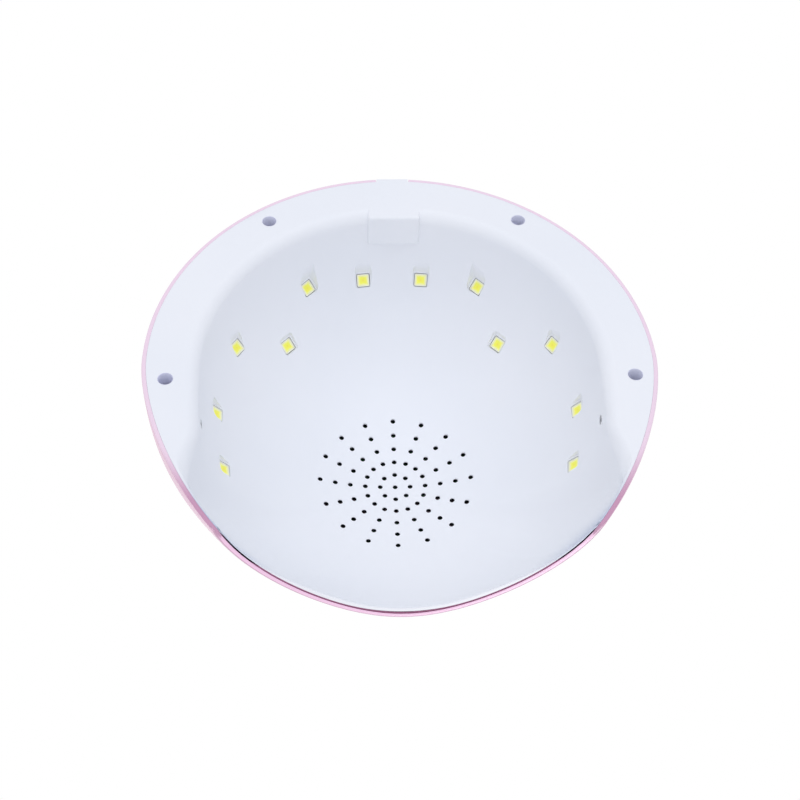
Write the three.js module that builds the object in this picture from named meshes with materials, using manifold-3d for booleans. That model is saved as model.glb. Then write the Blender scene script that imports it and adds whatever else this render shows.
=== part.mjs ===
// A nail lamp that cures gel: a domed shell, a white reflector with twelve lights inside it,
// a flat control face with three sprung timer buttons, and a socket for the lead at the rear.
// Millimetres. The mouth for the hand faces -Y, the socket +Y, and the lamp stands on Z = 0.
import * as THREE from "three";
import { mergeGeometries, mergeVertices } from "three/addons/utils/BufferGeometryUtils.js";
import Module from "manifold-3d";

const wasm = await Module();
wasm.setup();

// Driving sizes of the whole lamp
const halfWidth = 93.5;
const rearReach = 96;
const mouthReach = 74;
const frontReach = 114.5;
const bowlFrontReach = 105;
const shellHeight = 102;
const roofRoom = 24;
const shellWall = 1.6;
const linerWall = 1.6;
const fitGap = 0.3;
const overrun = 6;

const cavityHeight = shellHeight - roofRoom;

// The dome's pole stands over the pattern of vents, behind the middle of the lamp's depth
const poleY = (mouthReach - rearReach) / 2;
const quarterTurn = Math.PI / 2;
const degree = Math.PI / 180;
const angleStep = 0.001;
const weldGap = 0.0002;

// The shell's outline is an ellipse to the rear and runs on past the mouth in a fuller curve
const shellForm = {
  half: halfWidth,
  rear: rearReach,
  front: frontReach,
  frontPower: 1.68,
  creaseShare: 0.35,
  height: shellHeight,
  rise: 0.9,
  rearRise: 0.9,
  frontRise: 2.2,
};

// The bowl that holds the hand, inside the flat rim of the liner
const flangeWidth = 16;
const rollRadius = 4.8;
const bowlForm = {
  half: halfWidth - flangeWidth - rollRadius,
  rear: rearReach - flangeWidth - rollRadius,
  front: bowlFrontReach,
  frontPower: 2.6,
  creaseShare: 0,
  height: cavityHeight,
  rise: 0.94,
  rearRise: 0.76,
  frontRise: 0.94,
};

// Facets of the curved walls and of the round details
const bearings = 48;
const domeRings = 9;
const bowlRings = 7;
const rollRings = 2;
const ventSides = 6;
const boreSides = 6;
const screwSides = 6;
const postSides = 10;
const roundSides = 16;

// Solids and meshes

function solidOf(geometry) {
  const bare = geometry.clone();
  bare.deleteAttribute("normal");
  bare.deleteAttribute("uv");
  const merged = mergeVertices(bare, weldGap);
  const mesh = new wasm.Mesh({
    numProp: 3,
    vertProperties: merged.attributes.position.array,
    triVerts: new Uint32Array(merged.index.array),
  });
  return new wasm.Manifold(mesh);
}

function geometryOf(solid) {
  const mesh = solid.getMesh();
  const geometry = new THREE.BufferGeometry();
  geometry.setAttribute("position", new THREE.BufferAttribute(mesh.vertProperties, mesh.numProp));
  geometry.setIndex(new THREE.BufferAttribute(mesh.triVerts, 1));
  geometry.computeVertexNormals();
  return geometry;
}

function joined(geometries) {
  return solidOf(mergeGeometries(geometries.map((geometry) => {
    const bare = geometry.index ? geometry.toNonIndexed() : geometry.clone();
    bare.deleteAttribute("normal");
    bare.deleteAttribute("uv");
    return bare;
  })));
}

function box(width, depth, low, high) {
  return new THREE.BoxGeometry(width, depth, high - low).translate(0, 0, (low + high) / 2);
}

function rod(radius, low, high, sides) {
  const upright = new THREE.CylinderGeometry(radius, radius, high - low, sides);
  return upright.rotateX(quarterTurn).translate(0, 0, (low + high) / 2);
}

// A plate with round corners, between two heights
function plate(width, depth, corner, low, high) {
  const x = width / 2 - corner;
  const y = depth / 2 - corner;
  const outline = new THREE.Shape();
  outline.absarc(x, y, corner, 0, quarterTurn);
  outline.absarc(-x, y, corner, quarterTurn, 2 * quarterTurn);
  outline.absarc(-x, -y, corner, 2 * quarterTurn, 3 * quarterTurn);
  outline.absarc(x, -y, corner, 3 * quarterTurn, 4 * quarterTurn);
  const extrusion = new THREE.ExtrudeGeometry(outline, {
    depth: high - low,
    bevelEnabled: false,
    curveSegments: 3,
  });
  return extrusion.translate(0, 0, low);
}

// A turned solid about Z, from pairs of radius and height that run from its foot to its top
function turned(profile, sides) {
  const points = profile.map(([radius, height]) => new THREE.Vector2(radius, height));
  return new THREE.LatheGeometry(points, sides).rotateX(quarterTurn);
}

// A closed solid through rings of points, the first of them a single point at the pole
function lofted(rings) {
  const positions = [];
  const faces = [];
  const top = 0;
  positions.push(...rings[0][0].toArray());
  rings.slice(1).forEach((ring) => ring.forEach((point) => positions.push(...point.toArray())));
  const foot = positions.length / 3;
  const last = rings[rings.length - 1];
  positions.push(0, poleY, last[0].z);
  const at = (ring, step) => 1 + (ring - 1) * bearings + (step % bearings);
  for (let step = 0; step < bearings; step += 1) {
    faces.push(top, at(1, step + 1), at(1, step));
    for (let ring = 1; ring < rings.length - 1; ring += 1) {
      faces.push(at(ring, step), at(ring, step + 1), at(ring + 1, step));
      faces.push(at(ring, step + 1), at(ring + 1, step + 1), at(ring + 1, step));
    }
    faces.push(at(rings.length - 1, step), at(rings.length - 1, step + 1), foot);
  }
  const geometry = new THREE.BufferGeometry();
  geometry.setAttribute("position", new THREE.Float32BufferAttribute(positions, 3));
  geometry.setIndex(faces);
  return geometry;
}

// The curved walls. A bearing is an angle about the pole, 0 to the rear and half a turn at the
// mouth. A lift is an angle that runs from 0 at the pole to a quarter turn at the foot.

// A power of a sine, rounded off near zero by a share so that the outline has no crease there
function smoothPower(sine, power, creaseShare) {
  const crease = creaseShare ** power;
  const rounded = (sine ** 2 + creaseShare ** 2) ** (power / 2);
  const whole = (1 + creaseShare ** 2) ** (power / 2);
  return (rounded - crease) / (whole - crease);
}

function outlineRadius(form, bearing) {
  const across = Math.abs(Math.sin(bearing));
  const along = Math.abs(Math.cos(bearing));
  if (Math.cos(bearing) > 0) {
    return ((across / form.half) ** 2 + (along / form.rear) ** 2) ** (-1 / 2);
  }
  const power = form.frontPower;
  const sideways = smoothPower(across, power, form.creaseShare) / form.half ** power;
  return (sideways + (along / form.front) ** power) ** (-1 / power);
}

function riseAt(form, bearing) {
  const along = Math.cos(bearing);
  const end = along > 0 ? form.rearRise : form.frontRise;
  return form.rise + (end - form.rise) * along * along;
}

function polar(bearing, radius, height) {
  return new THREE.Vector3(
    radius * Math.sin(bearing),
    poleY + radius * Math.cos(bearing),
    height,
  );
}

function shellPoint(bearing, lift) {
  const radius = outlineRadius(shellForm, bearing) * Math.sin(lift);
  const share = Math.max(Math.cos(lift), 0) ** riseAt(shellForm, bearing);
  return polar(bearing, radius, shellForm.height * share);
}

// The direction square to a surface, pointing up and out
function squareTo(pointAt, bearing, lift) {
  const inner = Math.min(Math.max(lift, 2 * angleStep), quarterTurn - 2 * angleStep);
  const round = pointAt(bearing + angleStep, inner).sub(pointAt(bearing - angleStep, inner));
  const down = pointAt(bearing, inner + angleStep).sub(pointAt(bearing, inner - angleStep));
  const out = down.cross(round).normalize();
  return out.z < 0 ? out.negate() : out;
}

function insideShell(bearing, lift, depth) {
  const out = squareTo(shellPoint, bearing, lift);
  return shellPoint(bearing, lift).addScaledVector(out, -depth);
}

function ringOf(pointAt) {
  return Array.from({ length: bearings }, (_, step) =>
    pointAt((step / bearings) * 4 * quarterTurn));
}

// The filled dome that lies a given depth inside the shell's outer face
function shellSolid(depth, foot) {
  const rings = [[polar(0, 0, shellHeight - depth)]];
  for (let ring = 1; ring <= domeRings; ring += 1) {
    const lift = (ring / domeRings) * quarterTurn;
    rings.push(ringOf((bearing) => insideShell(bearing, lift, depth)));
  }
  if (foot < 0) rings.push(rings[domeRings].map((point) => point.clone().setZ(foot)));
  return solidOf(lofted(rings));
}

// The liner is a bowl that bends down into a skin under the shell towards the mouth

const mouthSeam = 2 * fitGap;
const bendReach = 12;
const settleReach = 3;
const settleShare = 0.3;

// The height that a skin of the liner may reach under the shell, over a point in plan
function skinHeight(bearing, radius, depth) {
  const share = radius / outlineRadius(shellForm, bearing);
  if (share >= 1) return -overrun;
  const lift = Math.asin(share);
  const room = shellWall + mouthSeam + linerWall - depth;
  const steepness = Math.max(squareTo(shellPoint, bearing, lift).z, angleStep);
  return Math.max(shellPoint(bearing, lift).z - room / steepness, -overrun);
}

// The lower of two heights, with a soft bend where they meet
function softLower(first, second) {
  const meeting = Math.max(bendReach - Math.abs(first - second), 0);
  return Math.min(first, second) - (meeting * meeting) / (4 * bendReach);
}

// Where the skin comes down to the level of the flat rim it settles on that level
function settledOn(level, height, bent) {
  const reach = Math.min((height - level) * settleShare, settleReach);
  const over = bent - level;
  if (over >= reach) return bent;
  if (over <= -reach) return level;
  return level + (over + reach) ** 2 / (4 * reach);
}

// A point of the liner: depth 0 is the white face in the cavity, linerWall is its back
function linerPoint(bearing, radius, height, depth) {
  const bent = softLower(height, skinHeight(bearing, radius, depth));
  return polar(bearing, radius, settledOn(depth, height, bent));
}

function bowlPoint(bearing, lift, depth) {
  const radius = (outlineRadius(bowlForm, bearing) + depth) * Math.sin(lift);
  const share = Math.max(Math.cos(lift), 0) ** riseAt(bowlForm, bearing);
  const height = rollRadius + (cavityHeight + depth - rollRadius) * share;
  return linerPoint(bearing, radius, height, depth);
}

// The roll between the bowl and the flat rim, by its own angle
function rollPoint(bearing, angle, depth) {
  const centre = outlineRadius(bowlForm, bearing) + rollRadius;
  const swing = rollRadius - depth;
  const radius = centre - swing * Math.cos(angle);
  const height = rollRadius - swing * Math.sin(angle);
  return linerPoint(bearing, radius, height, depth);
}

function linerSolid(depth, foot) {
  const rings = [[bowlPoint(0, 0, depth)]];
  for (let ring = 1; ring <= bowlRings; ring += 1) {
    const lift = (ring / bowlRings) * quarterTurn;
    rings.push(ringOf((bearing) => bowlPoint(bearing, lift, depth)));
  }
  for (let ring = 1; ring <= rollRings; ring += 1) {
    const angle = (ring / rollRings) * quarterTurn;
    rings.push(ringOf((bearing) => rollPoint(bearing, angle, depth)));
  }
  if (depth > 0) {
    rings.push(ringOf((bearing) => {
      const edge = Math.max(outlineRadius(shellForm, bearing), rings[rings.length - 1][0].y);
      return polar(bearing, edge + overrun, depth);
    }));
  }
  rings.push(rings[rings.length - 1].map((point) => point.clone().setZ(foot)));
  return solidOf(lofted(rings));
}

// All that lies ahead of the flat mouth or below the table is cut away
const mouthCutter = solidOf(
  box(4 * halfWidth, shellForm.front, -2 * overrun, 2 * shellHeight)
    .translate(0, poleY - mouthReach - shellForm.front / 2, 0),
);
const floorCutter = solidOf(box(4 * halfWidth, 4 * rearReach, -4 * overrun, 0));

// The flat control face on the dome's front slope, as a frame whose Z stands square out of it
const faceSetback = 26;
const faceDepth = 4.8;

const faceLift = Math.asin(faceSetback / shellForm.front);
const faceOut = squareTo(shellPoint, 2 * quarterTurn, faceLift).setX(0).normalize();
const faceCentre = shellPoint(2 * quarterTurn, faceLift).addScaledVector(faceOut, -faceDepth);
const faceFrame = new THREE.Matrix4()
  .makeBasis(
    new THREE.Vector3(1, 0, 0),
    new THREE.Vector3(0, faceOut.z, -faceOut.y),
    faceOut,
  )
  .setPosition(faceCentre);

function aboveFace(depth) {
  const cutter = box(2 * halfWidth, 2 * halfWidth, -depth, shellHeight);
  return solidOf(cutter.applyMatrix4(faceFrame));
}

// Sizes of what the control face carries, in its own frame
const buttonRadius = 4.2;
const buttonProud = 0.9;
const buttonFlange = 1;
const buttonFlangeThick = 1;
const buttonStemRadius = 1.6;
const buttonStemLength = 0.9;
const buttonTravel = 0.6;
const buttonPitch = 12;
const buttonRowY = -9;
const buttonMarks = [30, 60, 99];
const windowWidth = 24;
const windowDepth = 13;
const windowThick = 1;
const windowLedge = 2;
const windowY = 8;
const cornerRadius = 1.5;
const switchSize = 6;
const switchHeight = 3;
const plungerRadius = 1.5;
const plungerProud = 0.7;
const controlBoardWidth = 42;
const controlBoardDepth = 32;
const controlBoardY = -1;
const boardThick = 1.2;
const controlPostX = 17.5;
const controlPostY = 7;
const postRadius = 3;
const screwRadius = 1.2;
const screwHeadRadius = 2.5;
const screwHeadHeight = 1.7;
const screwLength = 9;
const crossWidth = 0.6;
const crossReach = 1.5;
const crossDepth = 0.9;

// Levels under the control face, each from the one above it
const flangeTop = -shellWall - fitGap;
const stemTop = flangeTop - buttonFlangeThick;
const plungerTop = stemTop - buttonStemLength - fitGap;
const switchTop = plungerTop - plungerProud;
const controlBoardTop = switchTop - switchHeight - fitGap;
const controlBoardFoot = controlBoardTop - boardThick;

// Sizes of the case screws, their cups in the liner and their posts in the shell
const caseScrewInset = 8.3;
const caseScrewBearings = [34.1, 95.4, -34.1, -95.4];
const recessRadius = 2.7;
const recessDepth = 10;
const cupWall = 1.7;
const casePostRadius = 3.8;
const caseScrewLength = 14;

const caseScrewPlaces = caseScrewBearings.map((bearing) => {
  const radius = outlineRadius(shellForm, bearing * degree) - caseScrewInset;
  return polar(bearing * degree, radius, 0);
});
const cupTop = recessDepth + linerWall;
const boreRadius = screwRadius + fitGap;

// Sizes of the socket for the lead, its notch in the shell and its housing in the liner
const jackWidth = 9;
const jackHeight = 11;
const jackLength = 14;
const jackBore = 3.2;
const jackBoreDepth = 10;
const jackPin = 1;
const jackTag = 2.4;
const jackTagThick = 0.6;
const plugRadius = 4;
const notchWidth = 13;
const notchHeight = 14;
const housingWidth = 20.6;
const housingHeight = 15;
const housingReach = 73.4;
const tabSetback = 0.4;

const tabRear = rearReach - tabSetback;
const jackRear = tabRear - 2 * linerWall - fitGap;
const jackAxisZ = linerWall + fitGap + jackHeight / 2;

// The control board's posts hang from the shell and carry two screws
const controlPosts = [-controlPostX, controlPostX];
const controlPostFoot = controlBoardTop + fitGap;

function makeShell() {
  const outer = shellSolid(0, 0).subtract(aboveFace(0));
  const inner = shellSolid(shellWall, -overrun).subtract(aboveFace(shellWall));
  const hollow = outer.subtract(inner);

  const casePosts = joined(caseScrewPlaces.map((place) =>
    rod(casePostRadius, cupTop + fitGap, shellHeight, postSides)
      .translate(place.x, place.y, 0)));
  const boardPosts = joined(controlPosts.map((x) =>
    rod(postRadius, controlPostFoot, overrun, postSides)
      .translate(x, controlPostY, 0)
      .applyMatrix4(faceFrame)));

  const bores = joined([
    ...caseScrewPlaces.map((place) => {
      const reach = cupTop + caseScrewLength + fitGap;
      return rod(boreRadius, -overrun, reach, boreSides).translate(place.x, place.y, 0);
    }),
    ...controlPosts.map((x) =>
      rod(boreRadius, -overrun - screwLength, -shellWall, boreSides)
        .translate(x, controlPostY, 0)
        .applyMatrix4(faceFrame)),
    ...buttonMarks.map((_, index) =>
      rod(buttonRadius + fitGap, -overrun, overrun, roundSides)
        .translate((index - 1) * buttonPitch, buttonRowY, 0)
        .applyMatrix4(faceFrame)),
  ]);
  const seat = plate(windowWidth, windowDepth, cornerRadius, -windowThick - fitGap, overrun)
    .translate(0, windowY, 0)
    .applyMatrix4(faceFrame);
  const opening = plate(
    windowWidth - 2 * windowLedge, windowDepth - 2 * windowLedge, cornerRadius, -overrun, overrun,
  ).translate(0, windowY, 0).applyMatrix4(faceFrame);

  // The notch is a slot with a round top, open at the foot
  const notch = joined([
    box(notchWidth, 2 * overrun, -overrun, notchHeight - notchWidth / 2)
      .translate(0, poleY + rearReach, 0),
  ]).add(solidOf(
    rod(notchWidth / 2, -overrun, overrun, roundSides)
      .rotateX(quarterTurn)
      .translate(0, poleY + rearReach, notchHeight - notchWidth / 2),
  ));

  return hollow
    .add(casePosts.intersect(outer))
    .add(boardPosts.intersect(outer))
    .subtract(bores)
    .subtract(solidOf(seat))
    .subtract(solidOf(opening))
    .subtract(notch)
    .subtract(mouthCutter)
    .subtract(floorCutter);
}

// Sizes of the lights, their small boards and the pockets that hold them. Each light sits in a
// flat that looks down at a slant, sunk into the wall, and a chute runs out of it downwards.
const ledSize = 5;
const ledThick = 1.5;
const ledBoardSize = 7;
const pocketWall = 1.5;
const pocketHeight = 4.2;
const flatMargin = 0.6;
const ledSlant = 42;
const chuteLeanShare = 0.3;
const ledBearings = [9.3, 27.4, 41, 61.2, 87.4, 106];
const ledHeightShares = [0.421, 0.377, 0.596, 0.392, 0.423, 0.5];
const ledFacings = [6, 48, 46.5, 55.5, 92, 97.5];
const ledSinkShares = [0.16, 0.26, 0.18, 0.14, 0.1, 0.1];

// The hand sensor's two halves look across the mouth from opposite walls
const sensorBearing = 104.7;
const sensorHeightShare = 0.16;
const sensorRadius = 1.5;
const sensorLength = 6;
const sensorCollar = 2;
const sensorBossRadius = 3.4;
const sensorBossHeight = 4.5;

function bowlLift(bearing, heightShare) {
  const share = (heightShare * cavityHeight - rollRadius) / (cavityHeight - rollRadius);
  return Math.acos(share ** (1 / riseAt(bowlForm, bearing)));
}

// A frame whose X is level and whose Z points out through the back of the wall
function frameAlong(out, centre) {
  const level = new THREE.Vector3(-out.y, out.x, 0).normalize();
  const climb = out.clone().cross(level);
  return new THREE.Matrix4().makeBasis(level, climb, out).setPosition(centre);
}

function wallFrame(bearing, heightShare) {
  const lift = bowlLift(bearing, heightShare);
  const out = squareTo((turn, climb) => bowlPoint(turn, climb, 0), bearing, lift);
  return frameAlong(out, bowlPoint(bearing, lift, 0));
}

function lightFrame(bearing, heightShare, facing, sink) {
  const out = new THREE.Vector3(Math.sin(facing), Math.cos(facing), Math.tan(ledSlant * degree));
  out.normalize();
  const wall = bowlPoint(bearing, bowlLift(bearing, heightShare), 0);
  return frameAlong(out, wall.addScaledVector(out, sink));
}

const ledFrames = [1, -1].flatMap((side) => ledBearings.map((bearing, index) => lightFrame(
  side * bearing * degree,
  ledHeightShares[index],
  side * ledFacings[index] * degree,
  ledSinkShares[index] * ledSize,
)));
const sensorFrames = [1, -1].map((side) =>
  wallFrame(side * sensorBearing * degree, sensorHeightShare));

// The same frame, but with its Z up along the chute that runs out of a light's flat
function chuteFrame(frame) {
  const chute = frame.clone();
  const [x, y] = frame.elements.slice(8, 10);
  chute.elements.splice(8, 3, x * chuteLeanShare, y * chuteLeanShare, 1);
  return chute;
}

const windowOpening = ledSize + 2 * fitGap;
const flatOpening = windowOpening + 2 * flatMargin;
const chuteReach = cavityHeight / 3;
const pocketFloor = linerWall + fitGap;
const pocketOpening = ledBoardSize + 2 * fitGap;
const pocketOuter = pocketOpening + 2 * pocketWall;

// The vents are a small ring and four larger ones round a central hole
const ventRadius = 1;
const ventPitch = 6;
const ventRings = 5;
const innerVents = 8;
const outerVents = 16;

function ventPlaces() {
  const places = [[0, 0]];
  for (let ring = 1; ring <= ventRings; ring += 1) {
    const count = ring > 1 ? outerVents : innerVents;
    for (let step = 0; step < count; step += 1) {
      const turn = (step / count) * 4 * quarterTurn;
      places.push([ring * ventPitch * Math.sin(turn), ring * ventPitch * Math.cos(turn)]);
    }
  }
  return places;
}

// The main board stands on four posts over the rear half of the bowl
const mainBoardWidth = 64;
const mainBoardDepth = 40;
const mainBoardY = 18;
const mainBoardInset = 5;
const mainBoardLift = 2.5;

const mainBoardFoot = cavityHeight + linerWall + mainBoardLift;
const mainBoardTop = mainBoardFoot + boardThick;
const mainPosts = [-1, 1].flatMap((side) => [-1, 1].map((end) => [
  side * (mainBoardWidth / 2 - mainBoardInset),
  poleY + mainBoardY + end * (mainBoardDepth / 2 - mainBoardInset),
]));

function makeLiner() {
  const cups = caseScrewPlaces.map((place) =>
    rod(recessRadius + cupWall, -overrun, cupTop, postSides).translate(place.x, place.y, 0));
  const pockets = ledFrames.map((frame) =>
    box(pocketOuter, pocketOuter, -pocketHeight, pocketHeight).applyMatrix4(frame));
  const chutes = ledFrames.map((frame) =>
    box(flatOpening + 2 * linerWall, flatOpening + 2 * linerWall, -chuteReach, linerWall)
      .applyMatrix4(chuteFrame(frame)));
  const sensorBosses = sensorFrames.map((frame) =>
    rod(sensorBossRadius, -sensorBossHeight, sensorBossHeight, screwSides).applyMatrix4(frame));
  const posts = mainPosts.map(([x, y]) =>
    rod(postRadius, cavityHeight / 2, mainBoardFoot - fitGap, screwSides).translate(x, y, 0));

  const room = shellSolid(shellWall + fitGap, 0);
  const filled = linerSolid(linerWall, -overrun);
  let liner = filled;
  [...cups, ...pockets, ...chutes, ...sensorBosses, ...posts].forEach((piece) => {
    liner = liner.add(solidOf(piece));
  });
  liner = liner.subtract(linerSolid(0, -2 * overrun));

  // The bulge that makes room for the lead's socket
  const bulgeDepth = rearReach - housingReach;
  const bulgeY = poleY + housingReach + bulgeDepth / 2;
  const bulge = plate(housingWidth, bulgeDepth, cornerRadius, 0, housingHeight)
    .translate(0, bulgeY, 0);
  const hollow = box(
    housingWidth - 2 * linerWall, bulgeDepth, linerWall, housingHeight - linerWall,
  ).translate(0, bulgeY + linerWall, 0);
  liner = liner
    .add(solidOf(bulge).intersect(filled))
    .subtract(solidOf(hollow))
    .intersect(room);

  // The tab that closes the shell's notch, with a round hole for the plug
  const tabWidth = notchWidth - 2 * fitGap;
  const tabMiddle = notchHeight - notchWidth / 2;
  const tabY = poleY + tabRear - linerWall;
  const tab = solidOf(box(tabWidth, 2 * linerWall, 0, tabMiddle).translate(0, tabY, 0))
    .add(solidOf(rod(tabWidth / 2, -linerWall, linerWall, roundSides)
      .rotateX(quarterTurn)
      .translate(0, tabY, tabMiddle)));
  const plugHole = rod(plugRadius, -overrun, overrun, roundSides)
    .rotateX(quarterTurn)
    .translate(0, poleY + rearReach, jackAxisZ);
  liner = liner.add(tab).subtract(solidOf(plugHole));

  const cutters = [
    ...ventPlaces().map(([x, y]) =>
      rod(ventRadius, cavityHeight / 2, cavityHeight + overrun, ventSides)
        .translate(x, poleY + y, 0)),
    ...caseScrewPlaces.map((place) =>
      rod(recessRadius, -overrun, recessDepth, postSides).translate(place.x, place.y, 0)),
  ];
  const bores = [
    ...caseScrewPlaces.map((place) =>
      rod(boreRadius, -overrun, cupTop + overrun, boreSides).translate(place.x, place.y, 0)),
    ...mainPosts.map(([x, y]) =>
      rod(boreRadius, mainBoardFoot - screwLength, mainBoardFoot, boreSides)
        .translate(x, y, 0)),
    ...ledFrames.map((frame) =>
      box(windowOpening, windowOpening, -overrun, overrun).applyMatrix4(frame)),
    ...sensorFrames.map((frame) =>
      rod(sensorRadius + fitGap, -overrun, 2 * overrun, boreSides).applyMatrix4(frame)),
  ];
  const pocketRooms = ledFrames.map((frame) =>
    box(pocketOpening, pocketOpening, pocketFloor, 2 * overrun).applyMatrix4(frame));
  const flats = ledFrames.map((frame) =>
    box(flatOpening, flatOpening, -chuteReach, 0).applyMatrix4(chuteFrame(frame)));
  return liner
    .subtract(joined(cutters))
    .subtract(joined(bores))
    .subtract(joined(pocketRooms))
    .subtract(joined(flats))
    .subtract(mouthCutter)
    .subtract(floorCutter);
}

// A round-headed screw that points up, its head's bearing face at Z = 0, with a cross in its foot
function makeScrew(length) {
  const edge = screwHeadHeight / 3;
  const body = turned([
    [0, -screwHeadHeight],
    [screwHeadRadius - edge, -screwHeadHeight],
    [screwHeadRadius, -screwHeadHeight + edge],
    [screwHeadRadius, 0],
    [screwRadius, 0],
    [screwRadius, length - screwRadius],
    [0, length],
  ], screwSides);
  const cross = [
    box(2 * crossReach, crossWidth, -screwHeadHeight - crossDepth, crossDepth - screwHeadHeight),
    box(crossWidth, 2 * crossReach, -screwHeadHeight - crossDepth, crossDepth - screwHeadHeight),
  ];
  return solidOf(body).subtract(solidOf(cross[0]).add(solidOf(cross[1])));
}

// Materials

const materials = {
  pink: new THREE.MeshStandardMaterial({ color: 0xf4b9d4, roughness: 0.3, metalness: 0 }),
  white: new THREE.MeshStandardMaterial({ color: 0xe6ebf5, roughness: 0.45, metalness: 0 }),
  steel: new THREE.MeshStandardMaterial({ color: 0xb8bcc4, roughness: 0.35, metalness: 1 }),
  light: new THREE.MeshStandardMaterial({ color: 0xe8ee70, roughness: 0.4, metalness: 0 }),
  aluminium: new THREE.MeshStandardMaterial({ color: 0xc9ccd2, roughness: 0.4, metalness: 1 }),
  board: new THREE.MeshStandardMaterial({ color: 0x1f6b3c, roughness: 0.5, metalness: 0 }),
  black: new THREE.MeshStandardMaterial({ color: 0x1b1b1d, roughness: 0.45, metalness: 0 }),
  smoked: new THREE.MeshStandardMaterial({ color: 0x2a2126, roughness: 0.1, metalness: 0 }),
  nylon: new THREE.MeshStandardMaterial({ color: 0xf1efe6, roughness: 0.5, metalness: 0 }),
  copper: new THREE.MeshStandardMaterial({ color: 0xb46a3a, roughness: 0.4, metalness: 1 }),
};

const lamp = new THREE.Group();

function addPiece(name, geometry, material, group = lamp) {
  const mesh = new THREE.Mesh(geometry, material);
  mesh.name = name;
  group.add(mesh);
  return mesh;
}

function groupAt(frame) {
  const group = new THREE.Group();
  group.applyMatrix4(frame);
  lamp.add(group);
  return group;
}

// The casing

addPiece("outer_shell", geometryOf(makeShell()), materials.pink);
addPiece("inner_liner", geometryOf(makeLiner()), materials.white);

const caseScrew = geometryOf(makeScrew(caseScrewLength));
caseScrewPlaces.forEach((place, index) => {
  const screw = addPiece("case_screw_" + (index + 1), caseScrew, materials.steel);
  screw.position.set(place.x, place.y, recessDepth - fitGap);
});

// The twelve lights: a square package on its own aluminium board, in a pocket of the liner

const ledFoot = pocketFloor - ledThick;
ledFrames.forEach((frame, index) => {
  const holder = groupAt(frame);
  const number = String(index + 1).padStart(2, "0");
  const bead = box(ledSize, ledSize, ledFoot, ledFoot + ledThick);
  addPiece("led_bead_" + number, bead, materials.light, holder);
  const boardFoot = pocketFloor + fitGap;
  const board = box(ledBoardSize, ledBoardSize, boardFoot, boardFoot + boardThick);
  addPiece("led_board_" + number, board, materials.aluminium, holder);
});

// The hand sensor, a sender on one side of the mouth and a receiver on the other

const sensorBody = turned([
  [0, 0],
  [sensorRadius / 2, sensorRadius / 4],
  [sensorRadius, sensorRadius],
  [sensorRadius, sensorBossHeight + fitGap],
  [sensorCollar, sensorBossHeight + fitGap],
  [sensorCollar, sensorLength],
  [0, sensorLength],
], boreSides);
["sensor_sender", "sensor_receiver"].forEach((name, index) => {
  addPiece(name, sensorBody, materials.black, groupAt(sensorFrames[index]));
});

// The socket for the lead

function makeJack() {
  const block = solidOf(box(jackWidth, jackLength, -jackHeight / 2, jackHeight / 2)
    .translate(0, -jackLength / 2, 0));
  const bore = rod(jackBore, -overrun, jackBoreDepth, postSides).rotateX(quarterTurn);
  const pin = rod(jackPin, 0, jackBoreDepth + jackPin, boreSides).rotateX(quarterTurn)
    .translate(0, -jackPin, 0);
  const tags = joined([-1, 1].map((side) =>
    box(jackTagThick, jackTag + jackPin, -jackPin, jackPin)
      .translate(side * jackBore, -jackLength - (jackTag - jackPin) / 2, 0)));
  return block.subtract(solidOf(bore)).add(solidOf(pin)).add(tags);
}

const jack = addPiece("dc_jack", geometryOf(makeJack()), materials.black);
jack.position.set(0, poleY + jackRear, jackAxisZ);

// The main board and what stands on it

function makeMainBoard() {
  const sheet = plate(mainBoardWidth, mainBoardDepth, cornerRadius, mainBoardFoot, mainBoardTop)
    .translate(0, poleY + mainBoardY, 0);
  const holes = mainPosts.map(([x, y]) =>
    rod(boreRadius, mainBoardFoot - overrun, mainBoardTop + overrun, boreSides)
      .translate(x, y, 0));
  return solidOf(sheet).subtract(joined(holes));
}

addPiece("main_board", geometryOf(makeMainBoard()), materials.board);

const boardScrew = geometryOf(makeScrew(screwLength - boardThick).rotate([180, 0, 0]));
mainPosts.forEach(([x, y], index) => {
  const screw = addPiece("board_screw_" + (index + 1), boardScrew, materials.steel);
  screw.position.set(x, y, mainBoardTop + fitGap);
});

const partFoot = mainBoardTop + fitGap;
const capacitorRadius = 4;
const capacitorHeight = 9;
const capacitorBead = 0.4;
const capacitor = turned([
  [0, 0],
  [capacitorRadius, 0],
  [capacitorRadius, capacitorHeight / 9],
  [capacitorRadius - capacitorBead, capacitorHeight / 6],
  [capacitorRadius, capacitorHeight / 4],
  [capacitorRadius, capacitorHeight - capacitorBead],
  [capacitorRadius - capacitorBead, capacitorHeight],
  [0, capacitorHeight],
], postSides);
addPiece("smoothing_capacitor", capacitor, materials.black)
  .position.set(-mainBoardWidth / 4, poleY + mainBoardY, partFoot);

const coilRadius = 4;
const coilHeight = 5;
const coilWaist = 0.7;
const coil = turned([
  [0, 0],
  [coilRadius, 0],
  [coilRadius, coilHeight / 5],
  [coilRadius - coilWaist, coilHeight / 4],
  [coilRadius - coilWaist, (coilHeight * 3) / 4],
  [coilRadius, (coilHeight * 4) / 5],
  [coilRadius, coilHeight],
  [0, coilHeight],
], postSides);
addPiece("switching_coil", coil, materials.copper)
  .position.set(mainBoardWidth / 4, poleY + mainBoardY, partFoot);

const driverWidth = 7;
const driverDepth = 6.5;
const driverHeight = 2.3;
addPiece("led_driver", plate(driverWidth, driverDepth, fitGap, 0, driverHeight), materials.black)
  .position.set(0, poleY + mainBoardY, partFoot);

// Plug-in sockets for the leads of the lights and of the lead's socket
const socketWidth = 7.5;
const socketDepth = 5.8;
const socketHeight = 6;
const socketWall = 0.8;

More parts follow.
